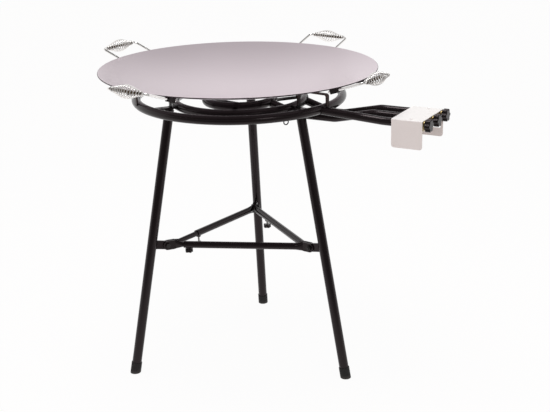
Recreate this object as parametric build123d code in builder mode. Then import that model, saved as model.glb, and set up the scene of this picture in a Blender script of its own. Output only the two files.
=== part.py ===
"""A round dished griddle over a three-ring gas burner, on a three-legged stand.

Sizes are in millimetres and angles in degrees. +X runs along the feed pipes to the taps, +Z is up,
and the origin lies on the floor under the middle of the burner.
"""

import math
import os

from build123d import *

# Clearances
WELD_GAP = 0.2
SEAT_GAP = 0.3
RUNNING_CLEARANCE = 0.05
SLIDING_CLEARANCE = 0.1
BOLT_CLEARANCE = 0.2

# Burner rings, all bent from one tube, with the two smaller ones set lower than the outer one
RING_HEIGHT = 792.0
SMALL_RING_DROP = 10.5
RING_TUBE = 25.0
RING_WALL = 1.5
OUTER_RING_RADIUS = 292.0
MIDDLE_RING_RADIUS = 184.0
INNER_RING_RADIUS = 95.0

# Flat bars that join the rings: spokes at the legs, and ties under the two smaller rings that
# meet in the middle of the burner
SPOKE_WIDTH = 20.0
SPOKE_THICKNESS = 5.0
SPOKE_NOTCH = 2.5
TIE_OVERLAP = 10.0
TIE_WIDTH = 18.0

# Bent flat bars that carry the griddle over the spokes
SUPPORT_WIDTH = 12.0
SUPPORT_THICKNESS = 4.0
SUPPORT_RISE = 40.5
SUPPORT_STANDOFF = 8.5
SUPPORT_BEND = 8.0

# Griddle, a dish of one curvature
PAN_RADIUS = 394.0
PAN_DEPTH = 55.0
PAN_SHEET = 3.0
PAN_EDGE = 1.2

# Handles, each a bent rod with a coil spring as its grip
HANDLE_COUNT = 4
HANDLE_AZIMUTH = 82.0
HANDLE_REACH = 63.0
HANDLE_LIFT = 16.3
HANDLE_TILT = 19.0
HANDLE_ROD = 7.0
HANDLE_HALF_WIDTH = 68.0
HANDLE_BEND = 10.0
HANDLE_ARM = 112.0
BRACKET_LENGTH = 24.0
BRACKET_WIDTH = 13.0
BRACKET_FLOOR = 3.0
BRACKET_INSET = 20.0
COIL_TURNS = 14
COIL_WIRE = 3.0
COIL_WAIST = 37.0
COIL_MARGIN = 1.0

# Legs, pushed on to spigots under the spokes
LEG_COUNT = 3
LEG_AZIMUTH = -8.5
LEG_SPLAY = 10.7
LEG_TUBE = 27.0
LEG_WALL = 1.5
LEG_STANDOFF = 26.2
LEG_HEAD_GAP = 0.5
SPIGOT_LENGTH = 60.0
CAP_WALL = 1.6
CAP_FLOOR = 8.0
CAP_HEIGHT = 33.0
CAP_ROUND = 1.2

# Braces between the legs, each a rod that slides in a tube
BRACE_HEIGHT = 378.0
BOLT_REACH = 47.0
LUG_THICKNESS = 5.0
LUG_HEIGHT = 25.0
TAB_THICKNESS = 4.0
TAB_HEIGHT = 27.0
TAB_LENGTH = 22.0
TAPER_LENGTH = 22.0
BRACE_TUBE = 20.0
BRACE_ROD = 15.0
ROD_INSERT = 80.0
BOLT_DIAMETER = 8.0
BOLT_HEAD_WIDTH = 13.0
BOLT_HEAD_HEIGHT = 5.3
NUT_HEIGHT = 6.5
BOLT_END = 2.0

# Lock screws of the braces and mouths of their tubes, at distances from the rod's bolt
FRONT_LOCK = 62.0
FRONT_MOUTH = 48.0
RIGHT_LOCK = 114.0
RIGHT_MOUTH = 50.0
LEFT_LOCK = 130.0
LEFT_MOUTH = 121.0
FRONT_STUD = 11.5
RIGHT_STUD = 21.0
LEFT_STUD = 28.0
COLLAR_DIAMETER = 13.0
COLLAR_HEIGHT = 1.5
STUD_DIAMETER = 6.0
STUD_IN_KNOB = 7.0
LOCK_KNOB_DIAMETER = 22.0
LOCK_KNOB_HEIGHT = 10.5
LOCK_KNOB_FLUTES = 5
LOCK_KNOB_FLUTE = 7.0
LOCK_KNOB_ROUND = 1.5

# Feed pipes, one for each ring
PIPE_TUBE = 22.0
PIPE_WALL = 1.5
PIPE_PITCH = 63.0
PIPE_REACH = 244.0
PIPE_UNDERPASS = 13.5
PIPE_FALL = 17.0
PIPE_LOW_END = 8.0
PIPE_RISE_END = 120.0
PIPE_LEVEL_RUN = 66.0
PIPE_BEND = 60.0
AIR_SLOT_LENGTH = 16.0
AIR_SLOT_HEIGHT = 9.0
AIR_SLOT_INSET = 11.0

# Gas taps, along X from the mouth of each feed pipe
TAP_DROP = 13.0
TAP_NOSE = 9.0
TAP_HEX_WIDTH = 21.0
TAP_HEX_LENGTH = 10.0
TAP_BARREL = 20.0
TAP_BARREL_LENGTH = 30.0
TAP_BONNET = 17.0
TAP_BONNET_LENGTH = 11.8
TAP_FLANGE = 26.0
TAP_FLANGE_LENGTH = 2.5
TAP_STUB = 12.0
TAP_STUB_DEPTH = 4.0
INJECTOR_DIAMETER = 8.0
INJECTOR_LENGTH = 13.0
INJECTOR_JET = 1.5
INJECTOR_SHANK = 5.0
INJECTOR_SHANK_LENGTH = 7.0
SPINDLE_DIAMETER = 8.0
SPINDLE_SEAT = 32.0
KNOB_GAP = 1.0
KNOB_SKIRT = 20.0
KNOB_SKIRT_LENGTH = 1.5
KNOB_DIAMETER = 35.0
KNOB_LENGTH = 14.0
KNOB_FLUTES = 6
KNOB_FLUTE = 11.0
KNOB_FLUTE_DEPTH = 4.0
KNOB_LOBE_ROUND = 2.5
KNOB_ROUND = 2.2
KNOB_FACE = 4.0

# Manifold rail under the taps, with its hose spigot
RAIL_TUBE = 20.0
RAIL_WALL = 2.0
RAIL_DROP = 22.0
RAIL_OVERHANG = 11.0
RAIL_END = 3.0
INLET_SHANK = 11.0
INLET_SHANK_LENGTH = 10.0
INLET_HEX_WIDTH = 15.0
INLET_HEX_LENGTH = 5.0
INLET_NECK = 13.0
INLET_NECK_LENGTH = 4.0
HOSE_SPIGOT = 10.0
HOSE_SPIGOT_LENGTH = 28.0
INLET_BORE = 6.0

# Heat shield folded over the taps
SHIELD_SHEET = 1.5
SHIELD_INSET = 36.0
SHIELD_LENGTH = 87.0
SHIELD_DROP = 77.0
SHIELD_SIDE_GAP = 2.5
SHIELD_FOLD = 2.5
SHIELD_CORNER = 8.0
WINDOW_LENGTH = 38.0
WINDOW_HEIGHT = 30.0
WINDOW_DROP = 4.0
WINDOW_CORNER = 3.0
SCREW_DIAMETER = 4.0
SCREW_DEPTH = 8.0
SCREW_HEAD = 8.0
SCREW_HEAD_HEIGHT = 2.0
SCREW_HEAD_ROUND = 0.8
SCREW_PLACE = 14.0

# Wire eye under the outer ring
EYE_AZIMUTH = -35.5
EYE_WIRE = 3.0
EYE_WIDTH = 16.0
EYE_DROP = 10.5

# Heights and radii that follow from the sizes above
RING_BOTTOM = RING_HEIGHT - RING_TUBE / 2
SMALL_RING_HEIGHT = RING_HEIGHT - SMALL_RING_DROP
SPOKE_TOP = RING_BOTTOM + SPOKE_NOTCH
SPOKE_BOTTOM = SPOKE_TOP - SPOKE_THICKNESS
TIE_TOP = SMALL_RING_HEIGHT - RING_TUBE / 2 - WELD_GAP
SUPPORT_TOP = RING_HEIGHT + SUPPORT_RISE
SUPPORT_INNER = MIDDLE_RING_RADIUS + RING_TUBE / 2 + SUPPORT_STANDOFF
SUPPORT_OUTER = OUTER_RING_RADIUS + RING_TUBE / 2
SUPPORT_FOOT = RING_HEIGHT + RING_TUBE / 4
TIE_OUTER = MIDDLE_RING_RADIUS + TIE_OVERLAP

PAN_CURVE = (PAN_RADIUS**2 + PAN_DEPTH**2) / (2 * PAN_DEPTH)
PAN_UNDER_CURVE = PAN_CURVE + PAN_SHEET
SEAT_RADIUS = SUPPORT_INNER + SUPPORT_BEND
SEAT_REACH = PAN_UNDER_CURVE + SEAT_GAP + SUPPORT_BEND
PAN_CENTRE = SUPPORT_TOP - SUPPORT_BEND + math.sqrt(SEAT_REACH**2 - SEAT_RADIUS**2)
PAN_RIM = PAN_CENTRE - PAN_CURVE + PAN_DEPTH
GRIP_RADIUS = PAN_RADIUS + HANDLE_REACH
GRIP_HEIGHT = PAN_RIM + HANDLE_LIFT

LEG_TAN = math.tan(math.radians(LEG_SPLAY))
LEG_BORE = LEG_TUBE - 2 * LEG_WALL
LEG_HEAD_RADIUS = MIDDLE_RING_RADIUS + LEG_STANDOFF
FOOT_RADIUS = LEG_HEAD_RADIUS + SPOKE_BOTTOM * LEG_TAN
LEG_HEAD = SPOKE_BOTTOM - LEG_HEAD_GAP - LEG_TUBE / 2 * math.sin(math.radians(LEG_SPLAY))
LEG_LENGTH = LEG_HEAD / math.cos(math.radians(LEG_SPLAY))
BOLT_RADIUS = FOOT_RADIUS - BRACE_HEIGHT * LEG_TAN - BOLT_REACH

PIPE_BORE = PIPE_TUBE - 2 * PIPE_WALL
PIPE_END = OUTER_RING_RADIUS + PIPE_REACH
PIPE_LOW = RING_BOTTOM - PIPE_UNDERPASS - PIPE_TUBE / 2
TAP_HEIGHT = RING_HEIGHT - TAP_DROP
TAP_PLACES = [-PIPE_PITCH, 0.0, PIPE_PITCH]
TAP_BARREL_START = PIPE_END + WELD_GAP + TAP_HEX_LENGTH
TAP_BARREL_END = TAP_BARREL_START + TAP_BARREL_LENGTH
TAP_BONNET_END = TAP_BARREL_END + TAP_BONNET_LENGTH
TAP_END = TAP_BONNET_END + TAP_FLANGE_LENGTH
KNOB_START = TAP_END + KNOB_GAP
KNOB_GRIP_START = KNOB_START + KNOB_SKIRT_LENGTH
KNOB_END = KNOB_GRIP_START + KNOB_LENGTH
RAIL_PLACE = TAP_BARREL_START + TAP_BARREL_LENGTH / 2
RAIL_HEIGHT = TAP_HEIGHT - RAIL_DROP
RAIL_HALF = PIPE_PITCH + RAIL_OVERHANG
SHIELD_HALF = RAIL_HALF + SHIELD_SIDE_GAP + SHIELD_SHEET
SHIELD_START = PIPE_END - SHIELD_INSET
SHIELD_UNDER = TAP_HEIGHT + PIPE_TUBE / 2 + WELD_GAP
SHIELD_TOP = SHIELD_UNDER + SHIELD_SHEET
SCREW_SPOT = PIPE_END + SCREW_PLACE

LEG_AZIMUTHS = [LEG_AZIMUTH + 360 / LEG_COUNT * k for k in range(LEG_COUNT)]
HANDLE_STEP = 360 / HANDLE_COUNT
RIGHT_LEG, BACK_LEG, LEFT_LEG = LEG_AZIMUTHS

# Each brace runs from the leg with its tube to the leg with its rod. The three rods are pushed in by
# different lengths, and so are the studs of their lock screws.
BRACES = [
    (RIGHT_LEG, LEFT_LEG, FRONT_LOCK, FRONT_MOUTH, FRONT_STUD),
    (RIGHT_LEG, BACK_LEG, RIGHT_LOCK, RIGHT_MOUTH, RIGHT_STUD),
    (BACK_LEG, LEFT_LEG, LEFT_LOCK, LEFT_MOUTH, LEFT_STUD),
]

os.makedirs("parts", exist_ok=True)


def save(piece, name):
    """Labels a finished piece and writes it under its own name."""
    piece.part.label = name
    export_step(piece.part, f"parts/{name}.step")


def outward(azimuth):
    """Level unit vector away from the burner's axis."""
    return Vector(math.cos(math.radians(azimuth)), math.sin(math.radians(azimuth)), 0)


def sideways(azimuth):
    """Level unit vector square to outward, counter-clockwise from above."""
    return Vector(-math.sin(math.radians(azimuth)), math.cos(math.radians(azimuth)), 0)


def level_plane(azimuth, height):
    """Level plane at a height, with its x pointing outward."""
    return Plane(origin=(0, 0, height), x_dir=outward(azimuth), z_dir=(0, 0, 1))


def upright_plane(azimuth):
    """Upright plane through the burner's axis, with x outward and y up."""
    return Plane(origin=(0, 0, 0), x_dir=outward(azimuth), z_dir=sideways(azimuth) * -1)


def leg_plane(azimuth):
    """Plane square to a leg at the floor, with its z up the leg."""
    lean = math.radians(LEG_SPLAY)
    up = outward(azimuth) * -math.sin(lean) + Vector(0, 0, math.cos(lean))
    return Plane(origin=outward(azimuth) * FOOT_RADIUS, x_dir=sideways(azimuth), z_dir=up)


# Burner rings with the hole that each feed pipe opens into
def feed_start(radius, side):
    """Where a feed pipe's centre line leaves the middle of its ring's tube."""
    return math.sqrt(radius**2 - side**2)


def fallen_x(radius, side):
    """Where a feed pipe that falls from its ring reaches the low level."""
    return feed_start(radius, side) + (SMALL_RING_HEIGHT - PIPE_LOW) / math.tan(math.radians(PIPE_FALL))


def dipping_route(radius, side):
    """Centre line of a pipe that dips under the outer ring, as x and height."""
    return [
        (feed_start(radius, side), SMALL_RING_HEIGHT),
        (fallen_x(radius, side), PIPE_LOW),
        (OUTER_RING_RADIUS + PIPE_LOW_END, PIPE_LOW),
        (OUTER_RING_RADIUS + PIPE_RISE_END, TAP_HEIGHT),
        (PIPE_END, TAP_HEIGHT),
    ]


def direct_route(radius, side):
    """Centre line of the pipe that runs straight into the outer ring, as x and height."""
    return [
        (feed_start(radius, side), RING_HEIGHT - (RING_TUBE - PIPE_TUBE) / 2),
        (PIPE_END - PIPE_LEVEL_RUN, TAP_HEIGHT),
        (PIPE_END, TAP_HEIGHT),
    ]


FEEDS = {
    "outer": (OUTER_RING_RADIUS, RING_HEIGHT, TAP_PLACES[0], direct_route),
    "inner": (INNER_RING_RADIUS, SMALL_RING_HEIGHT, TAP_PLACES[1], dipping_route),
    "middle": (MIDDLE_RING_RADIUS, SMALL_RING_HEIGHT, TAP_PLACES[2], dipping_route),
}

for name, (radius, height, side, route) in FEEDS.items():
    points = route(radius, side)
    start = Vector(points[0][0], side, points[0][1])
    towards = Vector(points[1][0], side, points[1][1]) - start
    with BuildPart() as ring:
        with BuildSketch(Plane.XZ):
            with Locations((radius, height)):
                Circle(RING_TUBE / 2)
                Circle(RING_TUBE / 2 - RING_WALL, mode=Mode.SUBTRACT)
        revolve(axis=Axis.Z)
        with BuildSketch(Plane(origin=start, z_dir=towards)):
            Circle(PIPE_BORE / 2)
        extrude(amount=RING_TUBE, mode=Mode.SUBTRACT)
    save(ring, f"{name}_ring")

# Feed pipes, coped to their rings and slotted for air near their mouths
for name, (radius, height, side, route) in FEEDS.items():
    with BuildPart() as pipe:
        with BuildLine(Plane.XZ.offset(-side)) as centre_line:
            FilletPolyline(*route(radius, side), radius=PIPE_BEND)
        with BuildSketch(Plane(origin=centre_line.line @ 0, z_dir=centre_line.line % 0)):
            Circle(PIPE_TUBE / 2)
            Circle(PIPE_BORE / 2, mode=Mode.SUBTRACT)
        sweep(path=centre_line.line)
        with BuildSketch(Plane.XZ):
            with Locations((radius, height)):
                Circle(RING_TUBE / 2 + WELD_GAP)
        revolve(axis=Axis.Z, mode=Mode.SUBTRACT)
        with Locations((PIPE_END - AIR_SLOT_INSET - AIR_SLOT_LENGTH / 2, side, TAP_HEIGHT)):
            Box(AIR_SLOT_LENGTH, 2 * PIPE_TUBE, AIR_SLOT_HEIGHT, mode=Mode.SUBTRACT)
    save(pipe, f"{name}_feed_pipe")

# Spokes from the flank of the middle ring to the underside of the outer ring, one over each leg
for number, azimuth in enumerate(LEG_AZIMUTHS, start=1):
    with BuildPart() as spoke:
        with BuildSketch(level_plane(azimuth, SPOKE_BOTTOM)):
            with Locations(((MIDDLE_RING_RADIUS + OUTER_RING_RADIUS) / 2, 0)):
                Rectangle(OUTER_RING_RADIUS - MIDDLE_RING_RADIUS, SPOKE_WIDTH)
        extrude(amount=SPOKE_THICKNESS)
        with BuildSketch(Plane.XZ):
            with Locations((MIDDLE_RING_RADIUS, SMALL_RING_HEIGHT), (OUTER_RING_RADIUS, RING_HEIGHT)):
                Circle(RING_TUBE / 2 + WELD_GAP)
        revolve(axis=Axis.Z, mode=Mode.SUBTRACT)
    save(spoke, f"ring_spoke_{number}")

# Ties between the spokes, mitred where they meet in the middle of the burner
with BuildPart() as ties:
    for azimuth in LEG_AZIMUTHS:
        with BuildSketch(level_plane(azimuth + 180 / LEG_COUNT, TIE_TOP)):
            with BuildLine():
                half = TIE_WIDTH / 2
                shoulder = WELD_GAP + half / math.tan(math.radians(180 / LEG_COUNT))
                Polyline(
                    (WELD_GAP, 0),
                    (shoulder, -half),
                    (TIE_OUTER, -half),
                    (TIE_OUTER, half),
                    (shoulder, half),
                    close=True,
                )
            make_face()
        extrude(amount=-SPOKE_THICKNESS)
save(ties, "ring_ties")

# Pan supports, flat bars bent down to a spoke at one end and to the outer ring's shoulder at the other
for number, azimuth in enumerate(LEG_AZIMUTHS, start=1):
    with BuildPart() as support:
        with BuildSketch(upright_plane(azimuth)) as bent_bar:
            with Locations(((SUPPORT_INNER + SUPPORT_OUTER) / 2, (SPOKE_TOP + SUPPORT_TOP) / 2)):
                Rectangle(SUPPORT_OUTER - SUPPORT_INNER, SUPPORT_TOP - SPOKE_TOP)
            fillet(bent_bar.vertices().group_by(Axis.Y)[-1], radius=SUPPORT_BEND)
            offset(amount=-SUPPORT_THICKNESS, mode=Mode.SUBTRACT)
            with Locations(((SUPPORT_INNER + SUPPORT_OUTER) / 2, SPOKE_TOP)):
                Rectangle(
                    SUPPORT_OUTER - SUPPORT_INNER - 2 * SUPPORT_THICKNESS,
                    4 * SUPPORT_THICKNESS,
                    mode=Mode.SUBTRACT,
                )
            with Locations((SUPPORT_OUTER, (SPOKE_TOP + SUPPORT_FOOT) / 2)):
                Rectangle(3 * SUPPORT_THICKNESS, SUPPORT_FOOT - SPOKE_TOP, mode=Mode.SUBTRACT)
        extrude(amount=SUPPORT_WIDTH / 2, both=True)
        with BuildSketch(Plane.XZ):
            with Locations((OUTER_RING_RADIUS, RING_HEIGHT)):
                Circle(RING_TUBE / 2 + WELD_GAP)
        revolve(axis=Axis.Z, mode=Mode.SUBTRACT)
    save(support, f"pan_support_{number}")

# Griddle pan, a dished sheet of even thickness
with BuildPart() as pan:
    with BuildSketch(Plane.XZ) as dish:
        with BuildLine():
            half = PAN_RADIUS / 2
            inside = [(x, PAN_CENTRE - math.sqrt(PAN_CURVE**2 - x**2)) for x in (0, half, PAN_RADIUS)]
            under = [(x, PAN_CENTRE - math.sqrt(PAN_UNDER_CURVE**2 - x**2)) for x in (0, half, PAN_RADIUS)]
            ThreePointArc(*inside)
            Line(inside[-1], under[-1])
            ThreePointArc(*under)
            Line(under[0], inside[0])
        make_face()
        fillet(dish.vertices().group_by(Axis.X)[-1], radius=PAN_EDGE)
    revolve(axis=Axis.Z)
save(pan, "griddle_pan")


# Handle rods, bent to a U in a plane that rises outward
def handle_plane(azimuth):
    """Plane of a handle at the middle of its grip, with x outward up the slope and y along the grip."""
    rise = math.radians(HANDLE_TILT)
    slope = outward(azimuth) * math.cos(rise) + Vector(0, 0, math.sin(rise))
    middle = outward(azimuth) * GRIP_RADIUS + Vector(0, 0, GRIP_HEIGHT)
    return Plane(origin=middle, x_dir=slope, z_dir=slope.cross(sideways(azimuth)))


HANDLE_AZIMUTHS = [HANDLE_AZIMUTH + HANDLE_STEP * k for k in range(HANDLE_COUNT)]
for number, azimuth in enumerate(HANDLE_AZIMUTHS, start=1):
    with BuildPart() as rod:
        with BuildLine(handle_plane(azimuth)) as bend:
            FilletPolyline(
                (-HANDLE_ARM, -HANDLE_HALF_WIDTH),
                (0, -HANDLE_HALF_WIDTH),
                (0, HANDLE_HALF_WIDTH),
                (-HANDLE_ARM, HANDLE_HALF_WIDTH),
                radius=HANDLE_BEND,
            )
        with BuildSketch(Plane(origin=bend.line @ 0, z_dir=bend.line % 0)):
            Circle(HANDLE_ROD / 2)
        sweep(path=bend.line)
    save(rod, f"handle_rod_{number}")

# Brackets under the pan's rim that hold the ends of the handle rods
with BuildPart() as brackets:
    for azimuth in HANDLE_AZIMUTHS:
        plane = handle_plane(azimuth)
        for side in (-HANDLE_HALF_WIDTH, HANDLE_HALF_WIDTH):
            with BuildSketch(plane.offset(-HANDLE_ROD / 2 - BRACKET_FLOOR)):
                with Locations((-HANDLE_ARM + BRACKET_INSET, side)):
                    Rectangle(BRACKET_LENGTH, BRACKET_WIDTH)
            extrude(amount=2 * HANDLE_ROD + BRACKET_FLOOR)
    with Locations((0, 0, PAN_CENTRE)):
        Sphere(PAN_UNDER_CURVE + WELD_GAP, mode=Mode.SUBTRACT)
    for azimuth in HANDLE_AZIMUTHS:
        plane = handle_plane(azimuth)
        for side in (-HANDLE_HALF_WIDTH, HANDLE_HALF_WIDTH):
            arm_end = plane.from_local_coords(Vector(-2 * HANDLE_ARM, side, 0))
            with BuildSketch(Plane(origin=arm_end, z_dir=plane.x_dir)):
                Circle(HANDLE_ROD / 2 + RUNNING_CLEARANCE)
            extrude(amount=2 * HANDLE_ARM, mode=Mode.SUBTRACT)
save(brackets, "handle_brackets")

# Coil springs wound over the grips, slim at their ends and wide in the middle
COIL_SPAN = 2 * (HANDLE_HALF_WIDTH - HANDLE_BEND - COIL_MARGIN) - COIL_WIRE
COIL_END_RADIUS = HANDLE_ROD / 2 + SEAT_GAP + COIL_WIRE / 2
COIL_SWELL = COIL_WAIST / 2 - COIL_WIRE / 2 - COIL_END_RADIUS


def coil_point(share):
    """Point of the coil's centre line, in its handle's plane, from 0 at one end to 1 at the other."""
    turn = 2 * math.pi * COIL_TURNS * share
    reach = COIL_END_RADIUS + COIL_SWELL * math.sin(math.pi * share) ** 2
    return Vector(reach * math.cos(turn), COIL_SPAN * (share - 0.5), reach * math.sin(turn))


def coil_heading(share):
    """Direction of the coil's centre line at the same place."""
    turn = 2 * math.pi * COIL_TURNS * share
    reach = COIL_END_RADIUS + COIL_SWELL * math.sin(math.pi * share) ** 2
    growth = COIL_SWELL * math.pi * math.sin(2 * math.pi * share)
    spin = 2 * math.pi * COIL_TURNS
    return Vector(
        growth * math.cos(turn) - reach * spin * math.sin(turn),
        COIL_SPAN,
        growth * math.sin(turn) + reach * spin * math.cos(turn),
    ).normalized()


def biarc_joint(start, leave, end, arrive):
    """Point where the two arcs of a biarc meet, and the second arc's heading there."""
    span = end - start
    both = leave + arrive
    square = 2 * (1 - leave.dot(arrive))
    linear = 2 * span.dot(both)
    handle = (-linear + math.sqrt(linear**2 + 4 * square * span.dot(span))) / (2 * square)
    near = start + leave * handle
    far = end - arrive * handle
    return (near + far) / 2, far - near


HALF_TURNS = 2 * COIL_TURNS
first_plane = handle_plane(HANDLE_AZIMUTH)
coil_places = [first_plane.from_local_coords(coil_point(k / HALF_TURNS)) for k in range(HALF_TURNS + 1)]
coil_headings = [
    first_plane.from_local_coords(coil_point(k / HALF_TURNS) + coil_heading(k / HALF_TURNS)) - place
    for k, place in enumerate(coil_places)
]
with BuildPart() as first_coil:
    with BuildLine() as winding:
        Line(coil_places[0] - coil_headings[0] * COIL_WIRE, coil_places[0])
        for k in range(HALF_TURNS):
            joint, heading = biarc_joint(
                coil_places[k], coil_headings[k], coil_places[k + 1], coil_headings[k + 1]
            )
            TangentArc(coil_places[k], joint, tangent=coil_headings[k])
            TangentArc(joint, coil_places[k + 1], tangent=heading)
        Line(coil_places[-1], coil_places[-1] + coil_headings[-1] * COIL_WIRE)
    with BuildSketch(Plane(origin=winding.line @ 0, z_dir=winding.line % 0)):
        Circle(COIL_WIRE / 2)
    sweep(path=winding.line)

for number in range(1, HANDLE_COUNT + 1):
    with BuildPart() as coil:
        add(first_coil.part, rotation=(0, 0, HANDLE_STEP * (number - 1)))
    save(coil, f"handle_coil_{number}")

COIL_SAMPLES = 36
samples = [coil_point(k / (COIL_SAMPLES * COIL_TURNS)) for k in range(COIL_SAMPLES * COIL_TURNS + 1)]
least = min(
    (near - far).length
    for k, near in enumerate(samples)
    for far in samples[k + COIL_SAMPLES // 2 : k + 2 * COIL_SAMPLES]
)
print(f"coil: least gap to itself {least - COIL_WIRE:.2f} mm")

# Spigots under the spokes that the legs are pushed on to
with BuildPart() as spigots:
    for azimuth in LEG_AZIMUTHS:
        with BuildSketch(leg_plane(azimuth).offset(LEG_LENGTH - SPIGOT_LENGTH)):
            Circle(LEG_BORE / 2 - RUNNING_CLEARANCE)
        extrude(amount=SPIGOT_LENGTH + LEG_TUBE)
    split(bisect_by=Plane.XY.offset(SPOKE_BOTTOM), keep=Keep.BOTTOM)
save(spigots, "leg_spigots")

# Leg tubes, from the floor of their caps up to the spokes
for number, azimuth in enumerate(LEG_AZIMUTHS, start=1):
    with BuildPart() as leg:
        with BuildSketch(leg_plane(azimuth).offset(CAP_FLOOR)):
            Circle(LEG_TUBE / 2)
            Circle(LEG_BORE / 2, mode=Mode.SUBTRACT)
        extrude(amount=LEG_LENGTH - CAP_FLOOR)
    save(leg, f"leg_{number}")

# Foot caps, cut level where they stand
CAP_BORE = LEG_TUBE / 2 + RUNNING_CLEARANCE
for number, azimuth in enumerate(LEG_AZIMUTHS, start=1):
    with BuildPart() as cap:
        with BuildSketch(leg_plane(azimuth).offset(-CAP_HEIGHT)):
            Circle(CAP_BORE + CAP_WALL)
        extrude(amount=2 * CAP_HEIGHT)
        with BuildSketch(leg_plane(azimuth).offset(CAP_FLOOR)):
            Circle(CAP_BORE)
        extrude(amount=CAP_HEIGHT, mode=Mode.SUBTRACT)
        split(bisect_by=Plane.XY, keep=Keep.TOP)
        flats = cap.faces().filter_by(GeomType.PLANE).sort_by(Axis.Z)
        fillet(flats[0].edges(), radius=CAP_ROUND)
        flats = cap.faces().filter_by(GeomType.PLANE).sort_by(Axis.Z)
        fillet(flats[-1].edges().sort_by(SortBy.RADIUS)[-1], radius=CAP_ROUND)
    save(cap, f"foot_cap_{number}")


# Lugs welded to the legs, with the bolts and nuts that clamp the braces to them
def bolt_plane(azimuth, side, distance):
    """Upright plane facing along a brace bolt, at a distance from the middle of its lug."""
    spot = outward(azimuth) * BOLT_RADIUS + Vector(0, 0, BRACE_HEIGHT)
    facing = sideways(azimuth) * side
    return Plane(origin=spot + facing * distance, x_dir=outward(azimuth), z_dir=facing)


with BuildPart() as lugs:
    for azimuth in LEG_AZIMUTHS:
        near_face = bolt_plane(azimuth, 1, -LUG_THICKNESS / 2)
        square_to_leg = sideways(azimuth).cross(leg_plane(azimuth).z_dir)
        with BuildSketch(Plane(origin=near_face.origin, x_dir=square_to_leg, z_dir=near_face.z_dir)):
            Circle(LUG_HEIGHT / 2)
            with Locations((BOLT_REACH / 2, 0)):
                Rectangle(BOLT_REACH, LUG_HEIGHT)
            Circle(BOLT_DIAMETER / 2 + BOLT_CLEARANCE, mode=Mode.SUBTRACT)
        extrude(amount=LUG_THICKNESS)
        with BuildSketch(leg_plane(azimuth)):
            Circle(LEG_TUBE / 2 + WELD_GAP)
        extrude(amount=LEG_LENGTH, mode=Mode.SUBTRACT)
save(lugs, "brace_lugs")

STACK = LUG_THICKNESS / 2 + TAB_THICKNESS
with BuildPart() as bolts:
    for azimuth in LEG_AZIMUTHS:
        with BuildSketch(bolt_plane(azimuth, 1, STACK)):
            RegularPolygon(BOLT_HEAD_WIDTH / 2, 6, major_radius=False)
        extrude(amount=BOLT_HEAD_HEIGHT)
        with BuildSketch(bolt_plane(azimuth, 1, STACK)):
            Circle(BOLT_DIAMETER / 2)
        extrude(amount=-(2 * STACK + NUT_HEIGHT + BOLT_END))
save(bolts, "brace_bolts")

with BuildPart() as nuts:
    for azimuth in LEG_AZIMUTHS:
        with BuildSketch(bolt_plane(azimuth, -1, STACK)):
            RegularPolygon(BOLT_HEAD_WIDTH / 2, 6, major_radius=False)
            Circle(BOLT_DIAMETER / 2 + RUNNING_CLEARANCE, mode=Mode.SUBTRACT)
        extrude(amount=NUT_HEIGHT)
save(nuts, "brace_nuts")


# Braces, each with a flattened end at either leg and a lock screw at the mouth of its tube
def tab_middle(azimuth, side):
    """Middle of a flattened end where it stops being flat."""
    stand = (LUG_THICKNESS + TAB_THICKNESS) / 2
    return bolt_plane(azimuth, side, stand).from_local_coords(Vector(-TAB_LENGTH, 0, 0))


TUBE_BORE = BRACE_ROD + 2 * SLIDING_CLEARANCE
STUD_HOLE = STUD_DIAMETER / 2 + RUNNING_CLEARANCE
STUD_TOP = BRACE_HEIGHT - BRACE_ROD / 2 - SEAT_GAP
COLLAR_BOTTOM = BRACE_HEIGHT - BRACE_TUBE / 2 - COLLAR_HEIGHT


def brace_half(azimuth, side, far_end, diameter, length, lock_spot=None):
    """Flattened end bolted to a leg's lug, with a round shaft that runs towards the far end.

    A half with a lock spot is the tube: it is bored for the rod and drilled for the lock stud.
    """
    near_end = tab_middle(azimuth, side)
    along = (far_end - near_end).normalized()
    across = along.cross(Vector(0, 0, 1))
    round_plane = Plane(origin=near_end + along * TAPER_LENGTH, x_dir=across, z_dir=along)
    with BuildPart() as half_brace:
        with BuildSketch(bolt_plane(azimuth, side, LUG_THICKNESS / 2)):
            Circle(TAB_HEIGHT / 2)
            with Locations((-TAB_LENGTH / 2, 0)):
                Rectangle(TAB_LENGTH, TAB_HEIGHT)
            Circle(BOLT_DIAMETER / 2 + BOLT_CLEARANCE, mode=Mode.SUBTRACT)
        extrude(amount=TAB_THICKNESS)
        with BuildSketch(Plane(origin=near_end, x_dir=across, z_dir=outward(azimuth) * -1)):
            Ellipse(TAB_THICKNESS / 2, TAB_HEIGHT / 2)
        with BuildSketch(round_plane):
            Circle(diameter / 2)
        loft()
        with BuildSketch(round_plane):
            Circle(diameter / 2)
        extrude(amount=length - TAPER_LENGTH)
        if lock_spot:
            with BuildSketch(round_plane):
                Circle(TUBE_BORE / 2)
            extrude(amount=length - TAPER_LENGTH, mode=Mode.SUBTRACT)
            with BuildSketch(Plane(origin=(lock_spot.X, lock_spot.Y, STUD_TOP))):
                Circle(STUD_HOLE)
            extrude(amount=-BRACE_TUBE, mode=Mode.SUBTRACT)
    return half_brace


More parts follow.
